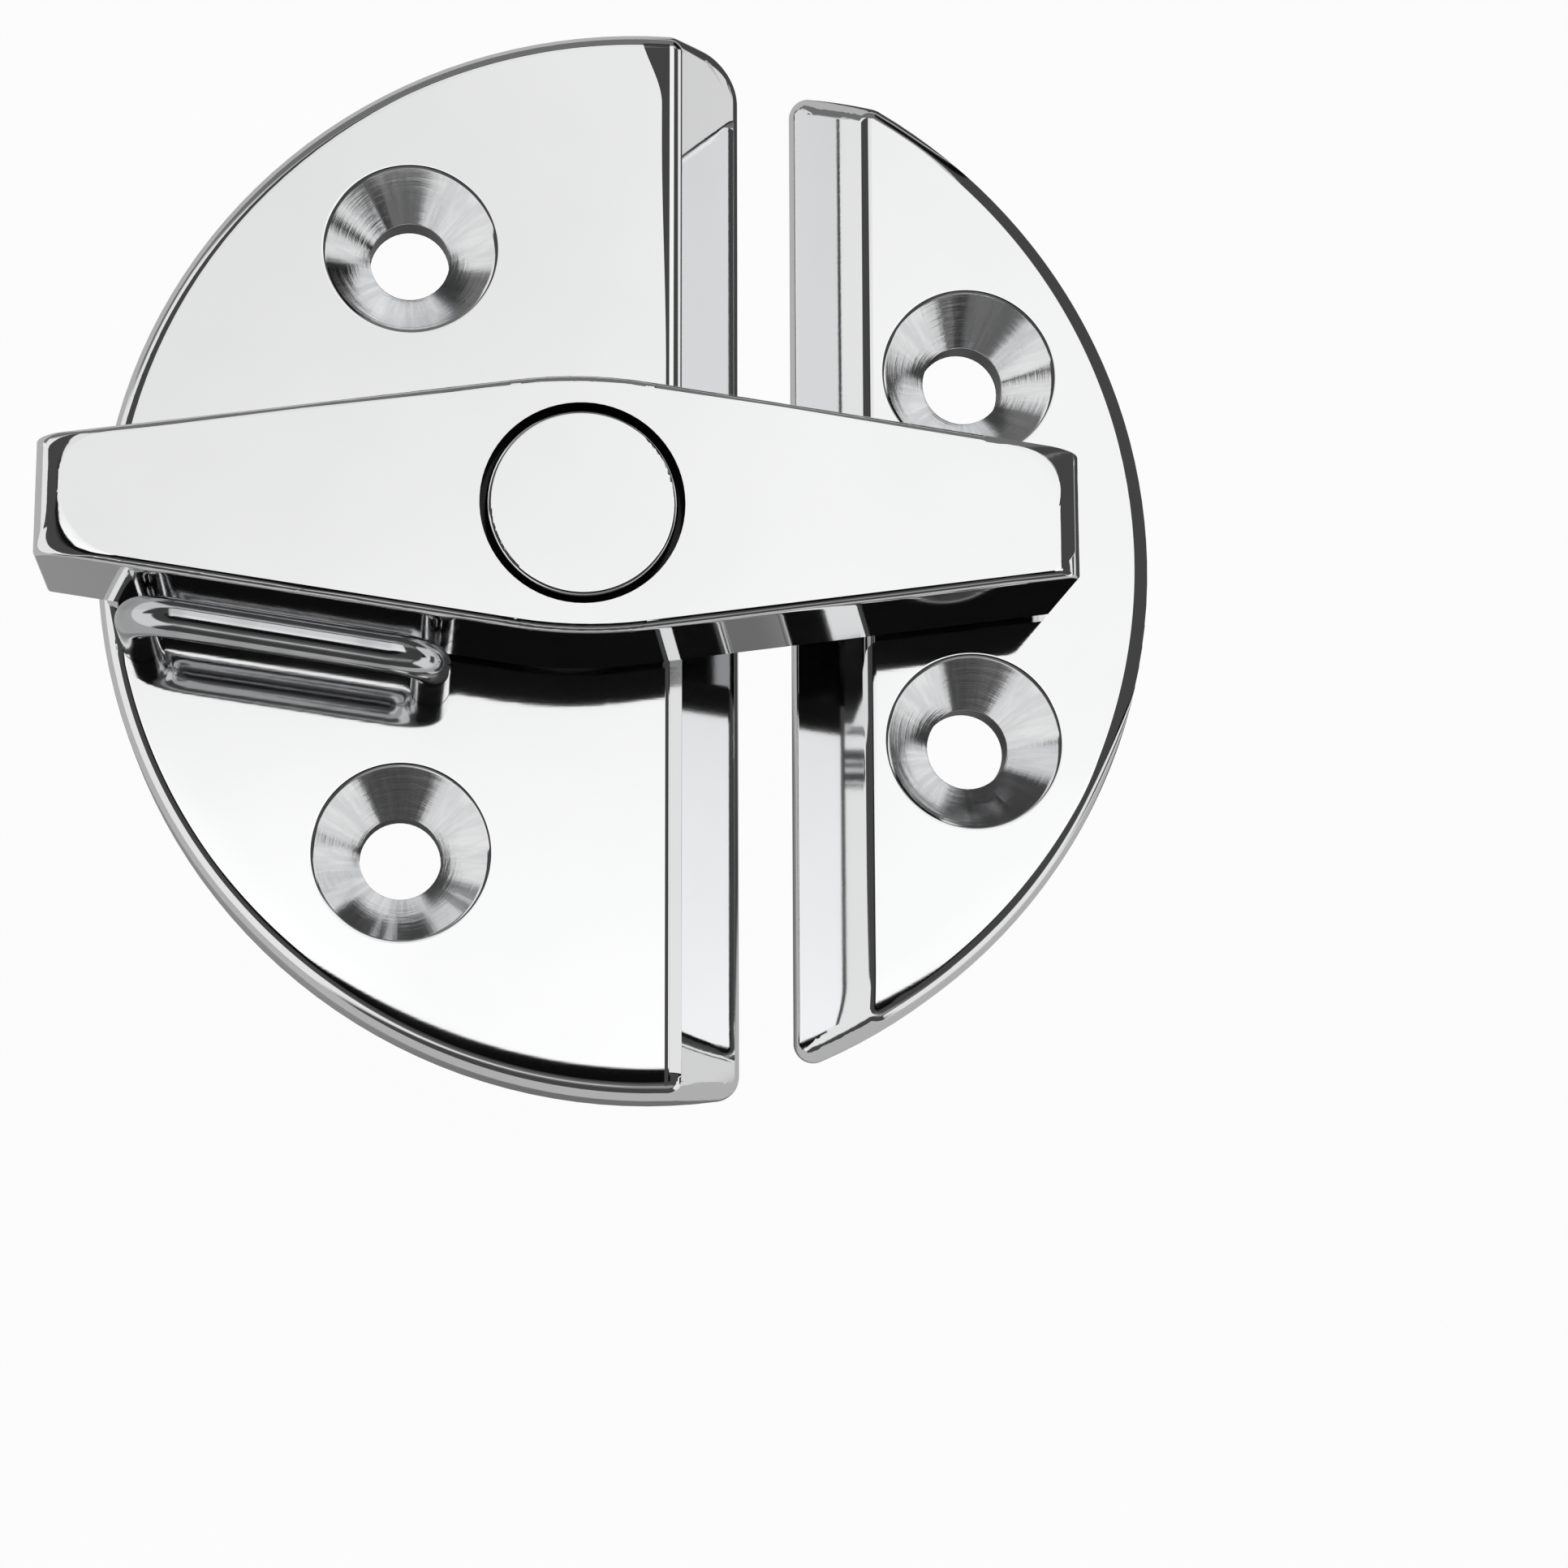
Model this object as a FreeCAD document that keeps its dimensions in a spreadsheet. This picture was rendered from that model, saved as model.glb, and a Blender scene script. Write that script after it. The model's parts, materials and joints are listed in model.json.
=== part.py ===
import FreeCAD, Part
import Sketcher
import math
import os
import re

# Door catch for a boat, in mirror-polished stainless steel.
# A round plate is cut in two: the larger piece carries the turning lever and
# the fixed wire bail, the smaller one is the strike with its domed nub.
# Origin: midway between the base plate's two screw holes, on the mounting
# plane.  +X runs from the base plate to the strike, +Z out of the surface.

SIZES = (
    ("disc_radius", 35.0, "radius of the round plate that both plates are cut from"),
    ("plate_thick", 5.0, "thickness of both plates"),
    ("base_chord", 6.2, "disc centre to the base plate's straight foot"),
    ("strike_chord", 12.25, "strike's arc centre to its straight foot"),
    ("seam_gap", 3.5, "gap between the feet of the two plates"),
    ("foot_land", 0.6, "upright land below each bevel"),
    ("edge_round", 1.2, "round on the top and bevel edges of the plates"),
    ("upper_more", 2.0, "base plate's upper corner, its round in plan beyond edge_round"),
    ("lower_more", 0.4, "base plate's lower corner, its round in plan beyond edge_round"),
    ("strike_more", 0.05, "strike plate's corners, their round in plan beyond edge_round"),
    ("screw_hole", 5.2, "screw clearance hole, diameter"),
    ("screw_sink", 11.1, "screw countersink, diameter"),
    ("sink_angle", 90.0, "countersink angle, degrees"),
    ("base_screws_x", 15.5, "disc centre back to the base plate's screws"),
    ("base_screws_pitch", 39.4, "spacing of the base plate's screws"),
    ("strike_screws_x", 11.1, "strike's foot to its screws"),
    ("strike_screws_pitch", 24.2, "spacing of the strike's screws"),
    ("pivot_x", 4.9, "disc centre back to the pivot"),
    ("recess_room", 0.5, "room round the disc spring in the recess behind the plate"),
    ("pin_shank", 8.0, "pivot pin shank, diameter"),
    ("pin_head", 11.7, "pivot pin head, diameter"),
    ("pin_head_thick", 2.6, "pivot pin head, thickness"),
    ("pin_head_sunk", 0.1, "depth of the head below the lever's top"),
    ("pin_head_edge", 0.35, "round on the pin head's edge"),
    ("pin_fit", 0.05, "radial running clearance on the pin"),
    ("washer_play", 0.15, "radial play of the washers on the pin"),
    ("pin_end_up", 0.55, "mounting plane up to the pin's peened end"),
    ("peen_radius", 4.9, "radius of the pin's peened end"),
    ("peen_thick", 0.8, "thickness of the pin's peened end"),
    ("thrust_radius", 7.5, "radius of the washer under the lever"),
    ("thrust_thick", 1.1, "thickness of the washer under the lever"),
    ("head_washer_thick", 0.5, "thickness of the washer under the pin's head"),
    ("head_gap", 0.4, "gap round the pin's head, radial"),
    ("spring_radius", 7.1, "outer radius of the disc spring"),
    ("spring_thick", 0.4, "thickness of the disc spring"),
    ("spring_rise", 0.45, "rise of the disc spring's cone"),
    ("backing_inset", 0.2, "backing washer's rim inside the disc spring's"),
    ("backing_thick", 0.8, "thickness of the backing washer"),
    ("lever_left", 33.0, "pivot to the lever's far end"),
    ("lever_right", 30.6, "pivot to the lever's end over the strike"),
    ("lever_thick", 11.6, "thickness of the lever"),
    ("hub_half", 8.3, "half width of the lever at the pivot, before rounding"),
    ("flank_taper", 8.1, "angle of each flank to the lever's length, degrees"),
    ("hub_round", 28.0, "round where the flanks meet at the hub"),
    ("end_roll", 1.6, "rolled top edge at the lever's ends"),
    ("flank_roll", 0.5, "rolled edges along the flanks"),
    ("broad_corner", 4.2, "round of the top at two opposite corners, in plan"),
    ("slight_corner", 2.4, "round of the top at the far end's other corner, in plan"),
    ("corner_edge", 0.3, "round on the lever's upright corners"),
    ("lead_round", 1.8, "lead-in round under the closing flank"),
    ("nub_reach", 26.2, "pivot to the strike's nub, lever closed"),
    ("nub_radius", 3.6, "radius of the nub where it meets the plate"),
    ("nub_height", 3.3, "height of the nub above the plate"),
    ("nub_shank", 4.0, "nub's shank, diameter"),
    ("nub_clear", 0.3, "clearance between the nub and its groove"),
    ("nub_foot_radius", 3.0, "radius of the nub's riveted foot"),
    ("nub_foot_deep", 1.0, "depth of the nub's riveted foot"),
    ("groove_sweep", 40.0, "angle swept by the groove under the lever, degrees"),
    ("wire", 2.5, "bail wire, diameter"),
    ("bail_rim", 3.0, "rim of the plate in to the bail's outer leg, along the lever"),
    ("bail_span", 18.2, "spacing of the bail's legs, along the lever"),
    ("bail_gap", 0.8, "gap between the bail and the lever's flank"),
    ("bail_height", 9.2, "plate to the middle of the bail's crossbar"),
    ("bail_bend", 2.7, "bend radius of the bail, at the middle of the wire"),
    ("seat_fit", 0.02, "radial clearance of the bail's legs and the nub's shank"),
    ("bail_mouth", 3.5, "chamfered mouth of the bail's holes, diameter"),
    ("bail_foot_radius", 2.2, "radius of the bail's upset feet"),
    ("bail_foot_thick", 1.1, "thickness of the bail's upset feet"),
    ("back_clear", 0.3, "how far hidden ends stay inside the mounting plane"),
)

OVERCUT = 2.0
NEAR = 1e-4

doc = FreeCAD.newDocument("DoorCatch")
sheet = doc.addObject("Spreadsheet::Sheet", "Sizes")
for row, (alias, number, note) in enumerate(SIZES, start=1):
    sheet.set("A%d" % row, note)
    sheet.set("B%d" % row, str(number))
    sheet.setAlias("B%d" % row, alias)
doc.recompute()


NAMES = {entry[0] for entry in SIZES}


def formula(text):
    """The text with each size's name written as a cell of the sheet."""
    return re.sub(r"[a-z_]+", lambda word: (
        "Sizes." + word.group() if word.group() in NAMES else word.group()), text)


def number(name):
    return float(getattr(sheet, name))


LEVER_UNDER = "(plate_thick + thrust_thick)"
LEVER_TOP = "(plate_thick + thrust_thick + lever_thick)"
TAPER = "(flank_taper * 1 deg)"
STRIKE_FOOT = "(base_screws_x + base_chord + seam_gap)"
NUB_X = "(base_screws_x - pivot_x + nub_reach)"
NUB_BALL = "((nub_radius ^ 2 + nub_height ^ 2) / (2 * nub_height))"
BAIL_OFF = "(hub_half + (bail_gap + wire / 2) / cos(%s))" % TAPER
PIVOT = "(base_screws_x - pivot_x)"
BAIL_FAR = "(disc_radius - bail_rim - pivot_x)"
BAIL_NEAR = "(%s - bail_span)" % BAIL_FAR
RECESS_DEEP = "(pin_end_up + peen_thick + backing_thick + spring_rise + spring_thick)"


def bind(thing, path, text):
    thing.setExpression(path, formula(text))


def new_body(name, at_x="0", at_y="0", at_z="0", turn="0"):
    """One sub-part, with its own placement in the catch's frame."""
    body = doc.addObject("PartDesign::Body", name)
    body.Label = name
    bind(body, "Placement.Base.x", at_x)
    bind(body, "Placement.Base.y", at_y)
    bind(body, "Placement.Base.z", at_z)
    if turn != "0":
        body.Placement.Rotation = FreeCAD.Rotation(FreeCAD.Vector(0, 0, 1), 1)
        bind(body, "Placement.Rotation.Angle", turn)
    return body


def origin_part(body, role):
    for feature in body.Origin.OriginFeatures:
        if feature.Role == role:
            return feature
    raise ValueError(role)


def new_sketch(body, name, plane="XY_Plane", lift="0", turn="0"):
    """A sketch on one of the body's own planes, lifted along its normal."""
    sketch = body.newObject("Sketcher::SketchObject", name)
    sketch.AttachmentSupport = [(origin_part(body, plane), "")]
    sketch.MapMode = "FlatFace"
    if turn != "0":
        sketch.AttachmentOffset = FreeCAD.Placement(
            FreeCAD.Vector(0, 0, 0), FreeCAD.Rotation(FreeCAD.Vector(0, 1, 0), 1))
        bind(sketch, "AttachmentOffset.Rotation.Angle", turn)
    if lift != "0":
        bind(sketch, "AttachmentOffset.Base.z", lift)
    return sketch


def hold(sketch, kind, geometry, point, text):
    """Fix one coordinate of a point to a formula, or to an axis where it is 0."""
    if text == "0":
        axis = -2 if kind == "DistanceX" else -1
        sketch.addConstraint(Sketcher.Constraint("PointOnObject", geometry, point, axis))
        return
    place = sketch.getPoint(geometry, point)
    drawn = place.x if kind == "DistanceX" else place.y
    index = sketch.addConstraint(
        Sketcher.Constraint(kind, -1, 1, geometry, point, drawn or NEAR))
    bind(sketch, "Constraints[%d]" % index, text)


def add_circle(sketch, at_x, at_y, radius):
    index = sketch.addGeometry(Part.Circle(
        FreeCAD.Vector(sketch.GeometryCount + 1, 1, 0), FreeCAD.Vector(0, 0, 1), 1.0))
    hold(sketch, "DistanceX", index, 3, at_x)
    hold(sketch, "DistanceY", index, 3, at_y)
    rule = sketch.addConstraint(Sketcher.Constraint("Radius", index, 1.0))
    bind(sketch, "Constraints[%d]" % rule, radius)
    return index


def add_polygon(sketch, corners):
    """A closed outline; each corner is a pair of formulas."""
    count = len(corners)
    ring = []
    for number in range(count):
        turn = 2 * math.pi * number / count
        ring.append(FreeCAD.Vector(10 * math.cos(turn), 10 * math.sin(turn), 0))
    first = sketch.GeometryCount
    for number in range(count):
        sketch.addGeometry(Part.LineSegment(ring[number], ring[(number + 1) % count]))
    for number in range(count):
        after = first + (number + 1) % count
        sketch.addConstraint(Sketcher.Constraint("Coincident", first + number, 2, after, 1))
    for number, (at_x, at_y) in enumerate(corners):
        hold(sketch, "DistanceX", first + number, 1, at_x)
        hold(sketch, "DistanceY", first + number, 1, at_y)


def add_pad(body, sketch, length, up=True):
    pad = body.newObject("PartDesign::Pad", sketch.Name + "_pad")
    pad.Profile = sketch
    pad.Reversed = not up
    bind(pad, "Length", length)
    return pad


def checked_cut(body, cut):
    """Recompute and make sure that the cut took something away."""
    doc.recompute()
    if cut.Shape.isNull() or cut.Shape.Volume >= cut.BaseFeature.Shape.Volume - 1e-6:
        raise RuntimeError("%s cuts nothing from %s" % (cut.Name, body.Label))
    return cut


def add_pocket(body, sketch, length, up=False, both=False):
    """Cut along the sketch's normal, upwards, downwards or to both sides."""
    cut = body.newObject("PartDesign::Pocket", sketch.Name + "_cut")
    cut.Profile = sketch
    cut.Reversed = up
    cut.Midplane = both
    bind(cut, "Length", length)
    return checked_cut(body, cut)


def add_hole(body, sketch, bore, mouth, angle):
    """Countersunk through holes at the sketch's circles."""
    doc.recompute()
    hole = body.newObject("PartDesign::Hole", sketch.Name + "_hole")
    hole.Profile = sketch
    doc.recompute()
    hole.DepthType = "ThroughAll"
    hole.HoleCutType = "Countersink"
    hole.HoleCutCustomValues = True
    bind(hole, "Diameter", bore)
    bind(hole, "HoleCutDiameter", mouth)
    bind(hole, "HoleCutCountersinkAngle", angle)
    return checked_cut(body, hole)


def add_turned(body, sketch, kind="Revolution"):
    """Revolve the sketch about its upright axis."""
    turned = body.newObject("PartDesign::" + kind, sketch.Name + "_turned")
    turned.Profile = sketch
    turned.ReferenceAxis = (sketch, ["V_Axis"])
    turned.Angle = 360
    return turned


def edges_where(shape, test):
    found = []
    for index, edge in enumerate(shape.Edges, start=1):
        if test(edge, edge.BoundBox):
            found.append("Edge%d" % index)
    return found


def dress(body, kind, base, names, amount):
    """A fillet or chamfer on the named edges or faces of the last feature."""
    feature = body.newObject("PartDesign::" + kind, base.Name + "_" + kind.lower())
    feature.Base = (base, names)
    bind(feature, "Radius" if kind == "Fillet" else "Size", amount)
    doc.recompute()
    return feature


def is_upright(box):
    return box.XLength < NEAR and box.YLength < NEAR and box.ZLength > NEAR


def half_disc(body, chord, keep_left, upper, lower):
    """Round plate with one side cut off straight, bevelled and rounded over."""
    side = "1" if keep_left else "-1"
    outline = new_sketch(body, body.Label + "_outline")
    add_circle(outline, "0", "0", "disc_radius")
    add_pad(body, outline, "plate_thick")
    far = "%s * (disc_radius + %g)" % (side, OVERCUT)
    reach = "(disc_radius + %g)" % OVERCUT
    straight = new_sketch(body, body.Label + "_straight")
    add_polygon(straight, (
        (chord, "-" + reach), (far, "-" + reach), (far, reach), (chord, reach)))
    cut = add_pocket(body, straight, "plate_thick", up=True)
    foot = number(chord)
    for turn, more in ((1, upper), (-1, lower)):
        corner = edges_where(cut.Shape, lambda edge, box: (
            is_upright(box) and abs(box.XMin - foot) < NEAR and turn * box.YMin > 0))
        cut = dress(body, "Fillet", cut, corner, "edge_round + " + more)
    rise = "(plate_thick - foot_land)"
    bevel = new_sketch(body, body.Label + "_bevel", "XZ_Plane")
    add_polygon(bevel, (
        ("%s + %s * %g" % (chord, side, OVERCUT), "foot_land - %g" % OVERCUT),
        ("%s + %s * %g" % (chord, side, OVERCUT), "plate_thick + %g" % OVERCUT),
        ("%s - %s * (%s + %g)" % (chord, side, rise, OVERCUT), "plate_thick + %g" % OVERCUT)))
    cut = add_pocket(body, bevel, "4 * disc_radius", both=True)
    faces = []
    for index, face in enumerate(cut.Shape.Faces, start=1):
        if face.Surface.TypeId == "Part::GeomPlane" and face.normalAt(0, 0).z > 0.5:
            faces.append("Face%d" % index)
    return dress(body, "Fillet", cut, faces, "edge_round")


def add_screw_holes(body, at_x, pitch):
    sketch = new_sketch(body, body.Label + "_screws", lift="plate_thick")
    for side in ("", "-"):
        add_circle(sketch, at_x, "%s%s / 2" % (side, pitch), "screw_hole / 2")
    add_hole(body, sketch, "screw_hole", "screw_sink", "sink_angle")


def add_ring(body, outer, inner, thick):
    sketch = new_sketch(body, body.Label + "_ring")
    add_circle(sketch, "0", "0", outer)
    add_circle(sketch, "0", "0", inner)
    return add_pad(body, sketch, thick)


# The base plate, with the holes of the bail's two legs.

LEG_X = "-(pivot_x + %s)" % BAIL_NEAR, "-(pivot_x + %s)" % BAIL_FAR
LEG_Y = ("-(%s - %s * tan(%s))" % (BAIL_OFF, BAIL_NEAR, TAPER),
         "-(%s - %s * tan(%s))" % (BAIL_OFF, BAIL_FAR, TAPER))


def make_base_plate():
    body = new_body("base_plate", "base_screws_x")
    half_disc(body, "base_chord", True, "upper_more", "lower_more")
    add_screw_holes(body, "-base_screws_x", "base_screws_pitch")
    recess = new_sketch(body, "pivot_recess")
    add_circle(recess, "-pivot_x", "0", "spring_radius + recess_room")
    add_pocket(body, recess, RECESS_DEEP, up=True)
    bore = new_sketch(body, "pivot_bore")
    add_circle(bore, "-pivot_x", "0", "pin_shank / 2 + pin_fit")
    add_pocket(body, bore, "plate_thick", up=True)
    legs = new_sketch(body, "bail_holes", lift="plate_thick")
    feet = new_sketch(body, "bail_feet")
    for leg_x, leg_y in zip(LEG_X, LEG_Y):
        add_circle(legs, leg_x, leg_y, "wire / 2 + seat_fit")
        add_circle(feet, leg_x, leg_y, "bail_foot_radius + seat_fit")
    add_hole(body, legs, "wire + 2 * seat_fit", "bail_mouth", "sink_angle")
    add_pocket(body, feet, "back_clear + bail_foot_thick", up=True)
    return body


# The wire bail.

def make_pull_bail():
    """One bent wire: its legs pass through the plate and are upset behind it."""
    body = new_body("pull_bail", PIVOT + " - " + BAIL_NEAR, LEG_Y[0], turn="-flank_taper")
    start = number("back_clear")
    top = number("plate_thick") + number("bail_height")
    bend = number("bail_bend")
    span = number("bail_span") / math.cos(math.radians(number("flank_taper")))
    up = FreeCAD.Vector(0, -1, 0)
    path = new_sketch(body, "bail_path", "XZ_Plane")

    def at(x, z):
        return FreeCAD.Vector(x, z, 0)

    def quarter(x, z, first):
        circle = Part.Circle(at(x, z), FreeCAD.Vector(0, 0, 1), bend)
        return Part.ArcOfCircle(circle, first, first + math.pi / 2)

    path.addGeometry(Part.LineSegment(at(0, start), at(0, top - bend)))
    path.addGeometry(quarter(-bend, top - bend, 0))
    path.addGeometry(Part.LineSegment(at(-bend, top), at(bend - span, top)))
    path.addGeometry(quarter(bend - span, top - bend, math.pi / 2))
    path.addGeometry(Part.LineSegment(at(-span, top - bend), at(-span, start)))
    for first, second in ((0, 1), (1, 2), (2, 3), (3, 4)):
        path.addConstraint(Sketcher.Constraint("Tangent", first, 2, second, 1))
    path.addConstraint(Sketcher.Constraint("Vertical", 0))
    path.addConstraint(Sketcher.Constraint("Vertical", 4))
    path.addConstraint(Sketcher.Constraint("Equal", 1, 3))
    hold(path, "DistanceX", 0, 1, "0")
    hold(path, "DistanceY", 0, 1, "back_clear")
    hold(path, "DistanceY", 4, 2, "back_clear")
    hold(path, "DistanceX", 4, 2, "-bail_span / cos(%s)" % TAPER)
    hold(path, "DistanceY", 2, 1, "plate_thick + bail_height")
    rule = path.addConstraint(Sketcher.Constraint("Radius", 1, bend))
    bind(path, "Constraints[%d]" % rule, "bail_bend")
    section = new_sketch(body, "bail_section", lift="back_clear")
    add_circle(section, "0", "0", "wire / 2")
    doc.recompute()
    pipe = body.newObject("PartDesign::AdditivePipe", "bail_wire")
    pipe.Profile = section
    pipe.Spine = (path, ["Edge%d" % index for index in range(1, 6)])
    doc.recompute()
    feet = new_sketch(body, "upset_feet", lift="back_clear")
    add_circle(feet, "0", "0", "bail_foot_radius")
    add_circle(feet, "-bail_span / cos(%s)" % TAPER, "0", "bail_foot_radius")
    add_pad(body, feet, "bail_foot_thick")
    return body


# The strike and its nub.

def make_strike_plate():
    body = new_body("strike_plate", STRIKE_FOOT + " - strike_chord")
    half_disc(body, "strike_chord", False, "strike_more", "strike_more")
    add_screw_holes(body, "strike_chord + strike_screws_x", "strike_screws_pitch")
    nub = "%s - (%s - strike_chord)" % (NUB_X, STRIKE_FOOT)
    bore = new_sketch(body, "nub_bore")
    add_circle(bore, nub, "0", "nub_shank / 2 + seat_fit")
    add_pocket(body, bore, "plate_thick", up=True)
    foot = new_sketch(body, "nub_foot_recess")
    add_circle(foot, nub, "0", "nub_foot_radius + seat_fit")
    add_pocket(body, foot, "back_clear + nub_foot_deep", up=True)
    return body


def make_strike_nub():
    """Domed stud, riveted over behind the plate."""
    body = new_body("strike_nub", NUB_X)
    foot = new_sketch(body, "nub_foot", lift="back_clear")
    add_circle(foot, "0", "0", "nub_foot_radius")
    add_pad(body, foot, "nub_foot_deep")
    shank = new_sketch(body, "nub_shank_round", lift="back_clear")
    add_circle(shank, "0", "0", "nub_shank / 2")
    add_pad(body, shank, "plate_thick - back_clear")
    top = number("plate_thick")
    radius = number("nub_radius")
    height = number("nub_height")
    ball = (radius ** 2 + height ** 2) / (2 * height)
    dome = new_sketch(body, "nub_dome", "XZ_Plane")
    foot_in = FreeCAD.Vector(0, top, 0)
    foot_out = FreeCAD.Vector(radius, top, 0)
    crown = FreeCAD.Vector(0, top + height, 0)
    middle = FreeCAD.Vector(0, top + height - ball, 0)
    circle = Part.Circle(middle, FreeCAD.Vector(0, 0, 1), ball)
    start = math.atan2(foot_out.y - middle.y, foot_out.x)
    dome.addGeometry(Part.LineSegment(foot_in, foot_out))
    dome.addGeometry(Part.ArcOfCircle(circle, start, math.pi / 2))
    dome.addGeometry(Part.LineSegment(crown, foot_in))
    for first, second in ((0, 1), (1, 2), (2, 0)):
        dome.addConstraint(Sketcher.Constraint("Coincident", first, 2, second, 1))
    hold(dome, "DistanceX", 0, 1, "0")
    hold(dome, "DistanceX", 2, 1, "0")
    hold(dome, "DistanceX", 1, 3, "0")
    hold(dome, "DistanceY", 0, 1, "plate_thick")
    hold(dome, "DistanceY", 0, 2, "plate_thick")
    hold(dome, "DistanceX", 0, 2, "nub_radius")
    hold(dome, "DistanceY", 2, 1, "plate_thick + nub_height")
    doc.recompute()
    add_turned(body, dome)
    return body


# The lever. Its top is rolled over at both ends, corners and all, and lightly
# along the flanks: its plan is drawn at several depths and they are lofted.

ROLL_SHARES = (1.0, 0.7, 0.45, 0.25, 0.1, 0.03, 0.0)
CORNERS = ("broad_corner", "hub_round", "slight_corner",
           "broad_corner", "hub_round", "corner_edge")


def make_turn_lever():
    """Tapered both ways from the hub, with rolled ends and a groove beneath."""
    body = new_body("turn_lever", PIVOT, at_z=LEVER_UNDER)
    levels = [lever_level(body, share) for share in ROLL_SHARES]
    add_pad(body, levels[0], "lever_thick - end_roll", up=False)
    add_loft(body, levels, "lever_rolls")
    lead = new_sketch(body, "lead_in", "YZ_Plane", turn="-flank_taper")
    draw_lead_in(lead)
    add_pocket(body, lead, "2 * (lever_right + %g)" % OVERCUT, both=True)
    bore = new_sketch(body, "lever_bore")
    add_circle(bore, "0", "0", "pin_shank / 2 + pin_fit")
    add_pocket(body, bore, "lever_thick", up=True)
    sink = new_sketch(body, "head_recess", lift="lever_thick")
    add_circle(sink, "0", "0", "pin_head / 2 + head_gap")
    add_pocket(body, sink, "pin_head_sunk + pin_head_thick + head_washer_thick")
    cut_groove(body)
    return body


def lever_level(body, share):
    """The lever's plan at a share of the end roll's depth below its top."""
    deep = "(end_roll * %g)" % share
    rest = "(1 - sqrt(1 - (1 - %g) ^ 2))" % share
    flank_in = "(flank_roll * (1 - sqrt(1 - (1 - min(1; %s / flank_roll)) ^ 2)))" % deep
    hub = "(hub_half - %s / cos(%s))" % (flank_in, TAPER)
    far = ["(%s - end_roll * %s)" % (size, rest) for size in ("lever_right", "lever_left")]
    tips = ["(%s - %s * tan(%s))" % (hub, reach, TAPER) for reach in far]
    sketch = new_sketch(body, "lever_at_%d_percent" % round(100 * share),
                        lift="(lever_thick - %s)" % deep)
    add_polygon(sketch, (
        (far[0], tips[0]), ("0", hub), ("-" + far[1], tips[1]),
        ("-" + far[1], "-" + tips[1]), ("0", "-" + hub), (far[0], "-" + tips[0])))
    doc.recompute()
    for corner, size in enumerate(CORNERS):
        if size.endswith("_corner"):
            size = "corner_edge + (%s - corner_edge) * %s" % (size, rest)
        round_corner(sketch, corner, size)
    return sketch


def round_corner(sketch, corner, radius):
    """Round one corner of an outline; its formulas still place the sharp corner."""
    start = 0.2
    sketch.fillet(corner, 1, start, True, True)
    arcs = [index for index in range(sketch.GeometryCount)
            if isinstance(sketch.Geometry[index], Part.ArcOfCircle)]
    rule = sketch.addConstraint(Sketcher.Constraint("Radius", arcs[-1], start))
    bind(sketch, "Constraints[%d]" % rule, radius)


def add_loft(body, sketches, name):
    """Join outlines of the same build into one smooth form."""
    loft = body.newObject("PartDesign::AdditiveLoft", name)
    loft.Profile = sketches[0]
    loft.Sections = sketches[1:]
    doc.recompute()
    return loft


def draw_lead_in(sketch):
    """What a round tool takes off the lower edge of the closing flank."""
    flank = number("hub_half") * math.cos(math.radians(number("flank_taper")))
    radius = number("lead_round")
    flank_text = "hub_half * cos(%s)" % TAPER

    def at(x, z):
        return FreeCAD.Vector(x, z, 0)

    circle = Part.Circle(at(flank - radius, radius), FreeCAD.Vector(0, 0, 1), radius)
    sketch.addGeometry(Part.ArcOfCircle(circle, -math.pi / 2, 0))
    corners = (at(flank, radius), at(flank + OVERCUT, radius),
               at(flank + OVERCUT, -OVERCUT), at(flank - radius, -OVERCUT),
               at(flank - radius, 0))
    for first, second in zip(corners, corners[1:]):
        sketch.addGeometry(Part.LineSegment(first, second))
    for first, second in ((0, 1), (1, 2), (2, 3), (3, 4), (4, 0)):
        sketch.addConstraint(Sketcher.Constraint("Coincident", first, 2, second, 1))
    for line in (1, 3):
        sketch.addConstraint(Sketcher.Constraint("Horizontal", line))
    for line in (2, 4):
        sketch.addConstraint(Sketcher.Constraint("Vertical", line))
    hold(sketch, "DistanceX", 0, 2, flank_text)
    hold(sketch, "DistanceY", 0, 2, "lead_round")
    hold(sketch, "DistanceX", 0, 1, flank_text + " - lead_round")
    hold(sketch, "DistanceY", 0, 1, "0")
    hold(sketch, "DistanceX", 0, 3, flank_text + " - lead_round")
    hold(sketch, "DistanceX", 2, 1, flank_text + " + %g" % OVERCUT)
    hold(sketch, "DistanceY", 3, 1, "-%g" % OVERCUT)


def cut_groove(body):
    """Round-nosed groove on the nub's own sweep, closed where the nub seats."""
    ball_z = "(nub_height - thrust_thick - %s)" % NUB_BALL
    section = new_sketch(body, "groove_section", "XZ_Plane")
    add_circle(section, "nub_reach", ball_z, NUB_BALL + " + nub_clear")
    doc.recompute()
    groove = add_turned(body, section, "Groove")
    bind(groove, "Angle", "groove_sweep")
    checked_cut(body, groove)
    seat = body.newObject("PartDesign::SubtractiveSphere", "groove_seat")
    bind(seat, "Radius", NUB_BALL + " + nub_clear")
    bind(seat, "Placement.Base.x", "nub_reach")
    bind(seat, "Placement.Base.z", ball_z)
    checked_cut(body, seat)


# The pivot: pin, washers and spring.

STACK = "(pin_end_up + peen_thick)"
HEAD_UNDER = "(%s - pin_head_sunk - pin_head_thick)" % LEVER_TOP
BORE = "pin_shank / 2 + washer_play"


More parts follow.
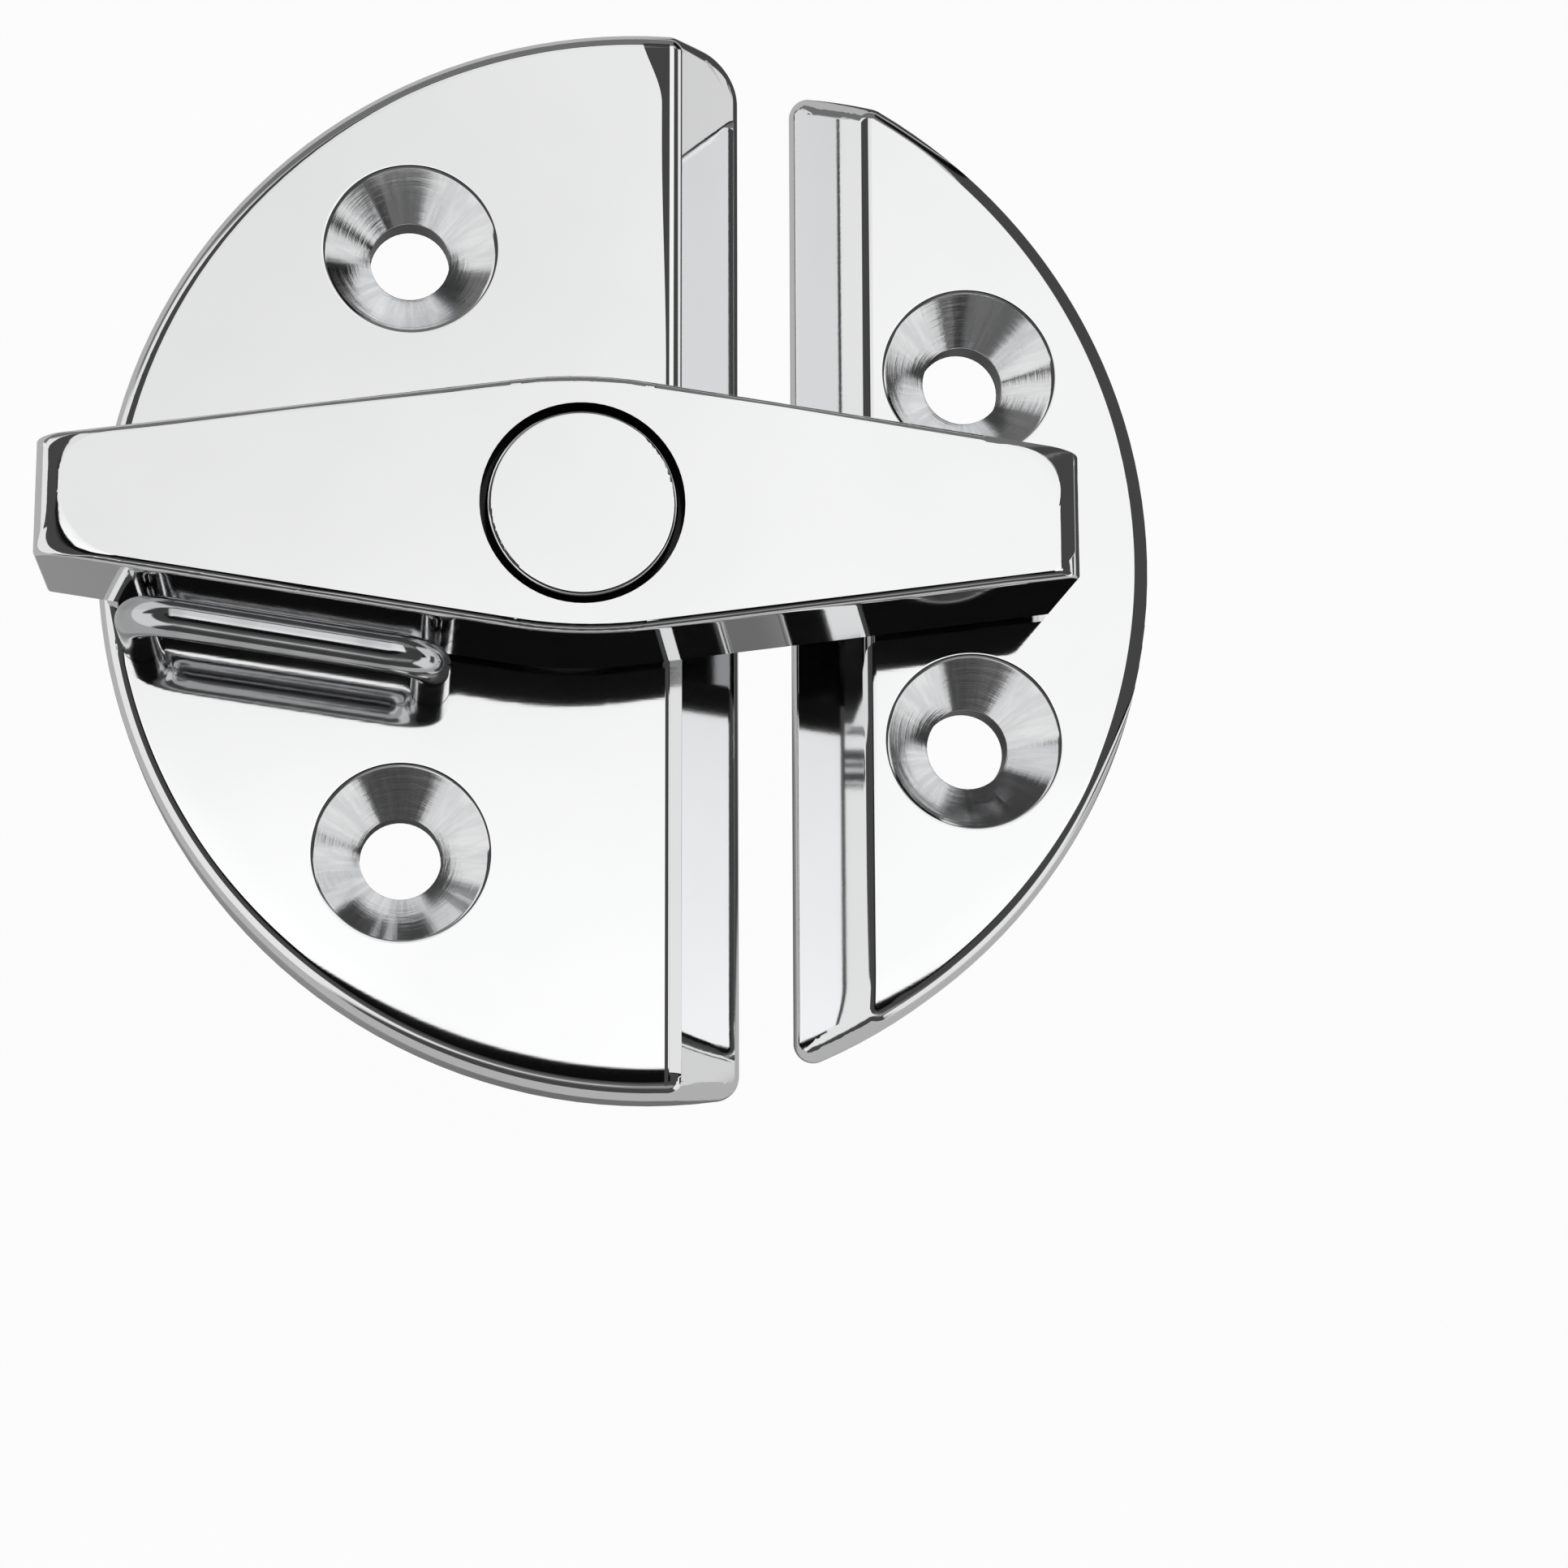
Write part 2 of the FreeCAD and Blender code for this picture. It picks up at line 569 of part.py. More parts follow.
def make_pivot_pin():
    """Turned pin with a flush head, peened over the backing washer."""
    body = new_body("pivot_pin", PIVOT)
    profile = new_sketch(body, "pin_profile", "XZ_Plane")
    end = "pin_end_up"
    shank = "pin_shank / 2"
    head = "pin_head / 2"
    top = "%s + pin_head_thick" % HEAD_UNDER
    add_polygon(profile, (
        ("0", end), ("peen_radius", end), ("peen_radius", STACK), (shank, STACK),
        (shank, HEAD_UNDER), (head, HEAD_UNDER), (head, top), ("0", top)))
    doc.recompute()
    turned = add_turned(body, profile)
    doc.recompute()
    rim = edges_where(turned.Shape, lambda edge, box: (
        box.ZLength < NEAR and abs(box.XLength - number("pin_head")) < NEAR
        and box.ZMin > turned.Shape.BoundBox.ZMax - NEAR))
    dress(body, "Fillet", turned, rim, "pin_head_edge")
    return body


def make_washers():
    thrust = new_body("thrust_washer", PIVOT, at_z="plate_thick")
    add_ring(thrust, "thrust_radius", BORE, "thrust_thick")
    head = new_body("head_washer", PIVOT, at_z=HEAD_UNDER + " - head_washer_thick")
    add_ring(head, "pin_head / 2", BORE, "head_washer_thick")
    backing = new_body("backing_washer", PIVOT, at_z=STACK)
    add_ring(backing, "spring_radius - backing_inset", BORE, "backing_thick")
    return thrust, head, backing


def make_disc_spring():
    """Coned spring washer between the plate and the backing washer."""
    body = new_body("disc_spring", PIVOT, at_z=STACK + " + backing_thick")
    profile = new_sketch(body, "spring_profile", "XZ_Plane")
    add_polygon(profile, (
        (BORE, "0"), ("spring_radius", "spring_rise"),
        ("spring_radius", "spring_rise + spring_thick"), (BORE, "spring_thick")))
    doc.recompute()
    add_turned(body, profile)
    return body


bodies = [make_base_plate(), make_pull_bail(), make_strike_plate(), make_strike_nub(),
          make_turn_lever(), make_pivot_pin(), make_disc_spring()]
bodies.extend(make_washers())
doc.recompute()

for item in doc.Objects:
    if "Invalid" in item.State or "Error" in item.State:
        raise RuntimeError("%s did not build: %s" % (item.Label, item.State))

os.makedirs("parts", exist_ok=True)
for body in bodies:
    solid = body.Shape
    if solid.isNull() or not solid.isValid() or len(solid.Solids) != 1:
        raise RuntimeError("%s is not one sound solid" % body.Label)
    solid.exportStep("parts/%s.step" % body.Label)
    print("%s %.1f mm3" % (body.Label, solid.Volume))
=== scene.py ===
# %% [markdown]
# # A turn-lever catch for a boat door, in polished stainless steel
# A round plate is parted along a chord. The larger piece carries a lever that
# turns on a pin and a wire pull for one finger. The smaller piece has a domed
# nub that the lever closes over. The solids come from the engineering model,
# so this lesson is about what makes them look like steel: the finish of each
# surface, and the light that a mirror finish shows.

# %% Load the model
import json
import math

import bpy
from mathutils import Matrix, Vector


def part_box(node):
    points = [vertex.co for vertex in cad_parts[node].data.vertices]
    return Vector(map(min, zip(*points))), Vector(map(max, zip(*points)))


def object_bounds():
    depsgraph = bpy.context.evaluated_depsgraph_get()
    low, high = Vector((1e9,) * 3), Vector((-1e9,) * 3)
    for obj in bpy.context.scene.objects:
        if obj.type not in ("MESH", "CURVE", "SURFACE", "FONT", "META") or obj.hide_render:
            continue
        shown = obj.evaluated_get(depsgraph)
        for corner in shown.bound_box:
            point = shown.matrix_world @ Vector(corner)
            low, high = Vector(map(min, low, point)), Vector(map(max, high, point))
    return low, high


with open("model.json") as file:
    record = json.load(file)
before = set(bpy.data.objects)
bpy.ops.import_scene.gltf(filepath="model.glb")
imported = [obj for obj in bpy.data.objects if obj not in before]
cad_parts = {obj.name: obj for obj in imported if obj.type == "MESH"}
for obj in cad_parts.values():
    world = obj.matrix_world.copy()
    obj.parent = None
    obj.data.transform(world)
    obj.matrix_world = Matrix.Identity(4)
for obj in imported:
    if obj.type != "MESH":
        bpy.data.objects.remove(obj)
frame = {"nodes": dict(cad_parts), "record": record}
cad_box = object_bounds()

MM_PER_METRE = 1000


def in_mm(values):
    """Metres as millimetres, rounded for printing."""
    return [round(value * MM_PER_METRE, 2) for value in values]


nodes = frame["nodes"]
print("nodes:", len(nodes), "box in mm:", [in_mm(corner) for corner in cad_box])

# %% [markdown]
# ## The camera
# The catch was photographed from almost straight above, a little from the
# side of the wire pull, with a long lens. The catch fills the upper left of
# the square picture, so the lens is shifted and the camera isn't turned away.

# %% Place the camera
camera_data = bpy.data.cameras.new("photo_camera")
camera = bpy.data.objects.new("photo_camera", camera_data)
bpy.context.scene.collection.objects.link(camera)
camera.location = (-0.00096, -0.05332, 0.23883)
camera.rotation_euler = [math.radians(angle) for angle in (11.559, -3.970, 0.181)]
camera_data.lens = 86.36
camera_data.sensor_width = 36.0
camera_data.shift_x = 0.0904
camera_data.shift_y = -0.0972
camera_data.clip_start = 0.01
camera_data.clip_end = 10.0
bpy.context.scene.camera = camera
bpy.context.scene.view_settings.view_transform = "Standard"
print("camera in mm:", in_mm(camera.location))

# %% [markdown]
# ## Writing shader maths as plain Python
# A finish is a sum of small effects, and each is a formula. Wired by hand, a
# formula of ten steps is ten boxes, so one small class wraps a socket and
# lets Python's own operators add the Math nodes. Any other node comes from
# one method, which sets the node's settings before its sockets.


# %% A wrapped socket
class Wire:
    """One output socket, which knows its tree and takes part in formulas."""

    def __init__(self, tree, socket):
        self.tree = tree
        self.socket = socket

    def maths(self, operation, *others):
        """Add a Math node that works on this value and the others."""
        return add_node(self.tree, "ShaderNodeMath", {"operation": operation},
                        dict(enumerate((self,) + others)))

    def __add__(self, other):
        return self.maths("ADD", other)

    def __radd__(self, other):
        return self.maths("ADD", other)

    def __sub__(self, other):
        return self.maths("SUBTRACT", other)

    def __rsub__(self, other):
        return self.maths("MULTIPLY", -1.0).maths("ADD", other)

    def __mul__(self, other):
        return self.maths("MULTIPLY", other)

    def __rmul__(self, other):
        return self.maths("MULTIPLY", other)

    def __truediv__(self, other):
        return self.maths("DIVIDE", other)

    def __pow__(self, other):
        return self.maths("POWER", other)

    def __abs__(self):
        return self.maths("ABSOLUTE")

    def larger(self, other):
        return self.maths("MAXIMUM", other)

    def rise(self, low, high):
        """0 below low, 1 above high, and smooth between them."""
        return add_node(self.tree, "ShaderNodeMapRange",
                        {"interpolation_type": "SMOOTHSTEP"},
                        {"Value": self, "From Min": low, "From Max": high})


def add_node(tree, kind, settings=None, values=None, output=0):
    """Add a node: its settings first, then its sockets, by name or number."""
    node = tree.nodes.new(kind)
    for name, value in (settings or {}).items():
        setattr(node, name, value)
    for name, value in (values or {}).items():
        if isinstance(value, Wire):
            tree.links.new(value.socket, node.inputs[name])
        else:
            node.inputs[name].default_value = value
    return None if output is None else Wire(tree, node.outputs[output])


print("maths wrapper ready")

# %% [markdown]
# ## Places on a surface
# Every pattern is laid out in the object's own coordinates, in metres. Those
# are the same in each view and at each pose, because a finish belongs to the
# metal and not to the camera.


# %% Coordinates and noise
def new_material(name):
    """A material with an empty tree, and its tree."""
    material = bpy.data.materials.new(name)
    material.use_nodes = True
    material.node_tree.nodes.clear()
    return material, material.node_tree


def place(tree):
    """Object coordinates."""
    return add_node(tree, "ShaderNodeTexCoord", output="Object")


def split(tree, point):
    """The three parts of a vector."""
    node = add_node(tree, "ShaderNodeSeparateXYZ", values={"Vector": point}).socket.node
    return [Wire(tree, socket) for socket in node.outputs]


def join(tree, x, y, z):
    """A vector of three values."""
    return add_node(tree, "ShaderNodeCombineXYZ", values={"X": x, "Y": y, "Z": z})


def stretch(tree, point, scale):
    """The coordinates, stretched by a factor along each axis."""
    return add_node(tree, "ShaderNodeMapping", values={"Vector": point, "Scale": scale})


def grain(tree, point, scale, detail=2.0, roughness=0.5):
    """Soft noise between 0 and 1, with scale spots to the metre."""
    return add_node(tree, "ShaderNodeTexNoise", values={
        "Vector": point, "Scale": scale, "Detail": detail, "Roughness": roughness})


def blend(tree, factor, first, second):
    """A colour between two colours."""
    return add_node(tree, "ShaderNodeMix", {"data_type": "RGBA"}, {
        "Factor": factor, 6: first, 7: second}, output=2)


def blend_normal(tree, factor, first, second):
    """A direction between two directions."""
    return add_node(tree, "ShaderNodeMix", {"data_type": "VECTOR"}, {
        "Factor": factor, 4: first, 5: second}, output=1)


def bump(tree, height, depth, normal=None):
    """A normal from a height of 0 to 1, where 1 stands depth metres high."""
    values = {"Strength": 1.0, "Distance": depth, "Height": height}
    if normal is not None:
        values["Normal"] = normal
    return add_node(tree, "ShaderNodeBump", values=values)


def close_tree(tree, shader, output="ShaderNodeOutputMaterial"):
    """Link a shader to the output of a material or a world."""
    add_node(tree, output, values={"Surface": shader}, output=None)


def finish_metal(tree, colour, roughness, normal, metallic=1.0):
    """Close a tree with one surface."""
    close_tree(tree, add_node(tree, "ShaderNodeBsdfPrincipled", values={
        "Base Color": colour, "Metallic": metallic, "Roughness": roughness,
        "Normal": normal}))


print("pattern helpers ready")

# %% [markdown]
# ## Mirror-polished steel
# The catch is cast in 316 stainless steel, ground and buffed. Buffing leaves
# the surface very slightly wavy, so a straight reflection isn't quite
# straight, and leaves hairlines that only show where light grazes them. The
# waves go into the bump, the hairlines into the roughness and the bump.

# %% Values of the polish
BRIGHT_STEEL = (0.90, 0.902, 0.908, 1.0)
SHADED_STEEL = (0.86, 0.863, 0.87, 1.0)
TURNED_STEEL = (0.74, 0.745, 0.755, 1.0)
GROUND_STEEL = (0.46, 0.465, 0.475, 1.0)
# Painted shade: the drilled holes' walls are coloured near black, for the dark inside a
# hole.
PAINTED_HOLE_SHADE = (0.10, 0.10, 0.105, 1.0)
MIRROR = 0.035
WAVE_LENGTH = 0.009
WAVE_DEPTH = 2.5e-6
HAIRLINE_DEPTH = 4.0e-7
HAIRLINE_BAND = (0.58, 0.85)
HAIRLINE_DULL = 0.05
CLOUD_SCALE = 55.0
CLOUD_BAND = (0.35, 0.8)
CLOUD_DULL = 0.03
CLOUD_SHADE_BAND = (0.3, 0.8)


# %% The polish
def polish(tree, point, lay):
    """Waves, hairlines and cloudiness of a buffed face; lay stretches the lines."""
    waves = grain(tree, point, 1.0 / WAVE_LENGTH, detail=1.0)
    lines = grain(tree, stretch(tree, point, lay), 1.0, detail=3.0, roughness=0.7)
    clouds = grain(tree, point, CLOUD_SCALE, detail=3.0)
    roughness = (MIRROR + CLOUD_DULL * clouds.rise(*CLOUD_BAND)
                 + HAIRLINE_DULL * lines.rise(*HAIRLINE_BAND))
    height = waves * (WAVE_DEPTH / HAIRLINE_DEPTH) + lines
    colour = blend(tree, clouds.rise(*CLOUD_SHADE_BAND), BRIGHT_STEEL, SHADED_STEEL)
    return colour, roughness, height


# %% [markdown]
# ## Countersinks, drilled holes and ground backs
# The four screw holes are countersunk after polishing, so their cones keep
# the cutter's rings and chatter, and the last pass of the buffing wheel has
# rounded their rims. The drilled holes below the cones are dull, and their
# walls are coloured near black: a painted shade, for the dark inside a hole.
# The backs of the plates are only ground flat, because nobody sees them when
# fitted.

# %% Values of the machined surfaces
screw_rows = {mount["name"]: mount for mount in frame["record"]["mounts"]}
PLATE_THICK = 0.005
SINK_RADIUS = 0.0111 / 2
HOLE_RADIUS = 0.0052 / 2
HOLE_TOP = PLATE_THICK - (SINK_RADIUS - HOLE_RADIUS)
HOLE_SKIN = 0.00012
RIM_INNER = 0.0054
RIM_OUTER = 0.00578
CONE_SLOPE = 0.76
GROUND_SKIN = 0.0002
RING_PITCH = 0.00026
RING_WOBBLE = 0.9
RING_HEIGHT = 26.0
CHATTER_SCALE = 300.0
CHATTER_COUNT = 7.0
CHATTER_BAND = (0.35, 0.7)
CHATTER_HEIGHT = 14.0
CHATTER_DULL = 0.06
CONE_DULL = 0.05
BORE_DULL = 0.3
BELT_LAY = (300.0, 9000.0, 300.0)
BELT_HEIGHT = 14.0
BELT_DULL = 0.2
BACK_DULL = 0.25
PLATE_LAY = (180.0, 5200.0, 5200.0)


def screw_row(name):
    """Where a row of two screw holes lies: its x, and half its pitch."""
    mount = screw_rows[name]
    return mount["pos_m"][0], mount["dims"]["spacing_y_mm"] / MM_PER_METRE / 2


def turned_rings(tree, radius, toward_x, toward_y):
    """The rings and the chatter that the cutter left."""
    rings = join(tree, radius / RING_PITCH, toward_x * RING_WOBBLE, toward_y * RING_WOBBLE)
    chatter = join(tree, radius * CHATTER_SCALE, toward_x * CHATTER_COUNT,
                   toward_y * CHATTER_COUNT)
    return (grain(tree, rings, 1.0, detail=4.0, roughness=0.65),
            grain(tree, chatter, 1.0, detail=3.0, roughness=0.6))


def ground_lines(tree, point):
    """Straight scratches of a grinding belt."""
    return grain(tree, stretch(tree, point, BELT_LAY), 1.0, detail=3.0, roughness=0.7)


# %% [markdown]
# ## Normals that follow the cut
# A mirror shows the facets of even a fine mesh. The rim of a plate is a
# quarter round turned about the disc's centre, and a countersink is a cone
# with a buffed rim, so their slopes can be worked out from the place on the
# surface. The finish starts from these slopes, and from the mesh elsewhere.
#
# Hand work leaves edges less even than a drawing has them. Where the wheel
# leaned on an edge, the round became one slope, which mirrors one dark part of
# the room and so draws a plain dark band: round the strike's rim and beside
# the base's chord. The near half of the base's chord was broken on a belt.

# %% Values of the round edge
EDGE_ROUND = 0.0012
DISC_RADIUS = 0.035
ROUND_START = DISC_RADIUS - EDGE_ROUND
ROUND_MIDDLE = PLATE_THICK - EDGE_ROUND
LEAST_RISE = 0.00004
LEAST_RADIUS = 0.001
SINK_FADE = 0.0001
CHORD_SKIN = 0.0012

# %% Values of the edges that the wheel leaned on
LEAN_START = 0.0314
LEAN_STEEP = 1.63e10
LEAN_ROUND = (0.35, 1.0)
WORN_SLOPE = 0.36
WORN_FROM = (0.10, 0.14)
WORN_RIM_Y = (-0.016, -0.007)
WORN_RIM_X = (0.0326, 0.037)
CHORD_TOP = 0.0168
STRIP_WIDTH = 0.00025
STRIP_WIDER, STRIP_WIDER_Y = 0.0003, (0.012, 0.028)
STRIP_WIDEST, STRIP_WIDEST_Y = 0.0015, (0.030, 0.0355)
STRIP_SOFT = 0.00006
BROKEN_END = 0.01765
BROKEN_FROM_Y = (-0.0336, -0.0332)
BROKEN_TO_Y = (-0.003, 0.003)
BROKEN_Z = (0.0044, 0.0046)
BROKEN_SLOPE = 0.62
BROKEN_STEEPER, BROKEN_STEEP_Y = 0.12, (-0.034, -0.018)


def length_of(x, y):
    """The length of a flat vector."""
    return (x * x + y * y) ** 0.5


def rim_slope(x, y, z, centre_x, worn_rim):
    """Slope of the top along x and y on the round edge.

    Where the rim is worn, the wheel has left one slope instead of a round."""
    out_x = x - centre_x
    out = length_of(out_x, y).larger(LEAST_RADIUS)
    slope = (out - ROUND_START).larger(0.0) / (z - ROUND_MIDDLE).larger(LEAST_RISE)
    if worn_rim:
        worn = y.rise(*WORN_RIM_Y) * x.rise(*WORN_RIM_X)
        slope = slope * (1.0 - worn) + slope.rise(*WORN_FROM) * WORN_SLOPE * worn
    return slope * out_x / out, slope * y / out


def worn_strip(x, y, z):
    """The strip beside the base's chord that the wheel leaned on, widest at
    its far corner."""
    width = (STRIP_WIDTH + STRIP_WIDER * y.rise(*STRIP_WIDER_Y)
             + STRIP_WIDEST * y.rise(*STRIP_WIDEST_Y))
    strip = (x - CHORD_TOP + width).rise(0.0, STRIP_SOFT)
    strip = strip * (1.0 - x.rise(CHORD_TOP, CHORD_TOP + LEAST_RISE))
    return strip * z.rise(PLATE_THICK - LEAST_RISE * 2, PLATE_THICK - LEAST_RISE)


def broken_edge(x, y, z):
    """The near half of the round between that strip and the bevel, which was
    drawn flat on the belt."""
    edge = x.rise(CHORD_TOP + LEAST_RISE, CHORD_TOP + LEAST_RISE * 2)
    edge = edge * (1.0 - x.rise(BROKEN_END, BROKEN_END + LEAST_RISE))
    return (edge * (1.0 - y.rise(*BROKEN_TO_Y)) * y.rise(*BROKEN_FROM_Y)
            * z.rise(*BROKEN_Z))


def leaned_edge(x, y, centre_x):
    """How the flat falls towards the edge nearest the wire pull, where the
    buffing wheel leaned on it, as a bump height."""
    out = length_of(x - centre_x, y).larger(LEAST_RADIUS)
    lean = (y / out * -1.0).rise(*LEAN_ROUND)
    past = (out - LEAN_START).larger(0.0)
    return lean * past ** 3.0 * -LEAN_STEEP


def followed_normal(tree, x, y, z, sink, centre_x, chord):
    """The worked-out normal, and the mesh's own where no slope is known."""
    radius, toward_x, toward_y = sink
    sink_slope = CONE_SLOPE * (1.0 - radius.rise(RIM_INNER, RIM_OUTER))
    side, chord_x = chord
    strip, edge = worn_strip(x, y, z), broken_edge(x, y, z)
    rim_x, rim_y = rim_slope(x, y, z, centre_x, worn_rim=side > 0.0)
    broken = edge * (BROKEN_SLOPE + BROKEN_STEEPER * (1.0 - y.rise(*BROKEN_STEEP_Y)))
    worked = join(tree, rim_x - sink_slope * toward_x + strip * WORN_SLOPE + broken,
                  rim_y - sink_slope * toward_y, 1.0)
    worked = add_node(tree, "ShaderNodeVectorMath", {"operation": "NORMALIZE"}, {0: worked})
    near_sink = (1.0 - radius.rise(RIM_OUTER, RIM_OUTER + SINK_FADE)) * z.rise(
        HOLE_TOP, HOLE_TOP + LEAST_RISE)
    on_top = ((x - chord_x) * side).rise(0.0, CHORD_SKIN) * z.rise(
        ROUND_MIDDLE, ROUND_MIDDLE + LEAST_RISE)
    own = add_node(tree, "ShaderNodeNewGeometry", output="Normal")
    known = near_sink.larger(on_top).larger(strip).larger(edge)
    return blend_normal(tree, known, own, worked)


# %% The finish of the plates
def plate_steel(name, row, centre_x, chord):
    """Polished, with turned cones, drilled holes and a ground back; the holes' walls are a
    painted shade, near black.
    """
    material, tree = new_material(name)
    point = place(tree)
    colour, roughness, height = polish(tree, point, PLATE_LAY)
    x, y, z = split(tree, point)
    at_x, half_pitch = screw_row(row)
    across, along = x - at_x, abs(y) - half_pitch
    radius = length_of(across, along)
    safe = radius.larger(LEAST_RADIUS / 2)
    toward_x, toward_y = across / safe, along / safe * y.maths("SIGN")
    rings, chatter = turned_rings(tree, radius, toward_x, toward_y)
    in_cone = 1.0 - radius.rise(RIM_INNER, SINK_RADIUS)
    in_hole = (1.0 - z.rise(HOLE_TOP - HOLE_SKIN, HOLE_TOP)) * (
        1.0 - radius.rise(HOLE_RADIUS + HOLE_SKIN / 2, HOLE_RADIUS + HOLE_SKIN))
    on_back = 1.0 - z.rise(GROUND_SKIN / 2, GROUND_SKIN)
    scratches = ground_lines(tree, point)
    turned = blend(tree, chatter.rise(*CHATTER_BAND), TURNED_STEEL, BRIGHT_STEEL)
    colour = blend(tree, in_cone, colour, turned)
    colour = blend(tree, on_back, colour, GROUND_STEEL)
    # Painted shade: the drilled holes are coloured near black.
    colour = blend(tree, in_hole, colour, PAINTED_HOLE_SHADE)
    roughness = (roughness + in_cone * (CONE_DULL + CHATTER_DULL * chatter)
                 + in_hole * BORE_DULL + on_back * (BACK_DULL + BELT_DULL * scratches))
    height = (height + in_cone * (rings * RING_HEIGHT + chatter * CHATTER_HEIGHT)
              + on_back * scratches * BELT_HEIGHT + leaned_edge(x, y, centre_x))
    normal = followed_normal(tree, x, y, z, (radius, toward_x, toward_y), centre_x, chord)
    finish_metal(tree, colour, roughness, bump(tree, height, HAIRLINE_DEPTH, normal))
    return material


# Where each disc piece's arc has its centre, and the side of its chord that
# is clear of the chord's own bevel: a sign, and the x where it starts.
BASE_CENTRE, BASE_CLEAR = 0.0155, (-1.0, 0.0158)
STRIKE_CENTRE, STRIKE_CLEAR = 0.01295, (1.0, 0.0312)
base_steel = plate_steel("base_steel", "base_screws", BASE_CENTRE, BASE_CLEAR)
strike_steel = plate_steel("strike_steel", "strike_screws", STRIKE_CENTRE, STRIKE_CLEAR)
print("screw rows in mm:", in_mm(screw_row("base_screws") + screw_row("strike_screws")))

# %% [markdown]
# ## Lever, nub and pin
# The lever is buffed along its length. The head of the pin is turned and
# then buffed, so faint rings stay under its shine; so does the nub, which is
# pressed round and polished. The recess round the head is bored, not buffed,
# and stays dull; it is also coloured near black, a painted shade that draws
# the black ring round the pin. The rolled top edge at the lever's right end is
# one slope, like the strike's rim. The lever turns, so its slope is worked out
# in the lever's own directions and then turned with it.

# %% Values of the lever, the nub and the pin
LEVER_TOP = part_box("turn_lever")[1][2]
LEVER_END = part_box("turn_lever")[1][0]
LEVER_LAY = (160.0, 4800.0, 4800.0)
PIN_HEAD_RADIUS = 0.0117 / 2
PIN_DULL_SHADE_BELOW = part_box("pivot_pin")[1][2] - 0.0003
RECESS_RADIUS = PIN_HEAD_RADIUS + 0.0004
RECESS_SKIN = 0.00006
# Painted shade: the bored recess round the pin's head, and the pin outside its head, are
# coloured near black.
PAINTED_RECESS_SHADE = (0.06, 0.06, 0.063, 1.0)
TURN_LAY = (700.0, 700.0, 5200.0)
TURN_PITCH = 0.0002
TURN_WOBBLE = 150.0
TURN_BAND = (0.5, 0.8)
TURN_DULL = 0.03
PIN_RINGS = 0.6
NUB_RINGS = 0.4
WORN_LEAN = 0.34
WORN_LEAN_FROM = (0.12, 0.16)
WORN_END_LONG = (0.0062, 0.0056)
WORN_END_SHORT = 0.00042
WORN_END_CORNER, WORN_END_CORNER_Y = 0.0011, (-0.0040, -0.0022)
WORN_END_SOFT = 0.00004
WORN_END_DEEP = (0.0012, 0.0010)
WORN_END_TOWARD = (-0.6, -0.4)


# %% The finish of the lever
def worn_end(tree, x, y, z):
    """The lever's own normal, and one lean on its worn, rolled end."""
    own = add_node(tree, "ShaderNodeTexCoord", output="Normal")
    lean_x, lean_y = split(tree, own)[:2]
    lean = length_of(lean_x, lean_y).larger(LEAST_RADIUS)
    toward_x, toward_y = lean_x / lean, lean_y / lean
    worn = join(tree, toward_x * WORN_LEAN, toward_y * WORN_LEAN,
                math.sqrt(1.0 - WORN_LEAN ** 2))
    outer = (LEVER_END - WORN_END_SHORT
             - WORN_END_CORNER * (1.0 - y.rise(*WORN_END_CORNER_Y)))
    long_span = [LEVER_END - value for value in WORN_END_LONG]
    deep_span = [LEVER_TOP - value for value in WORN_END_DEEP]
    at_end = lean.rise(*WORN_LEAN_FROM) * x.rise(*long_span)
    at_end = at_end * (1.0 - (x - outer).rise(-WORN_END_SOFT, WORN_END_SOFT))
    at_end = at_end * toward_y.rise(*WORN_END_TOWARD) * z.rise(*deep_span)
    return add_node(tree, "ShaderNodeVectorTransform", {
        "vector_type": "NORMAL", "convert_from": "OBJECT", "convert_to": "WORLD"},
        {"Vector": blend_normal(tree, at_end, own, worn)})


def lever_finish(centre):
    """Buffed steel with its lines along the lever, and a dull bored recess whose near black
    colour is a painted shade.
    """
    material, tree = new_material("lever_steel")
    point = place(tree)
    colour, roughness, height = polish(tree, point, LEVER_LAY)
    x, y, z = split(tree, point)
    radius = length_of(x - centre[0], y - centre[1])
    bored_recess_shade = 1.0 - radius.rise(RECESS_RADIUS, RECESS_RADIUS + RECESS_SKIN)
    bored_recess_shade = bored_recess_shade * (1.0 - z.rise(LEVER_TOP - RECESS_SKIN * 2, LEVER_TOP - RECESS_SKIN))
    # Painted shade: the bored recess is coloured near black; its dullness is real.
    colour = blend(tree, bored_recess_shade, colour, PAINTED_RECESS_SHADE)
    normal = bump(tree, height, HAIRLINE_DEPTH, worn_end(tree, x, y, z))
    finish_metal(tree, colour, roughness + bored_recess_shade * BORE_DULL, normal)
    return material


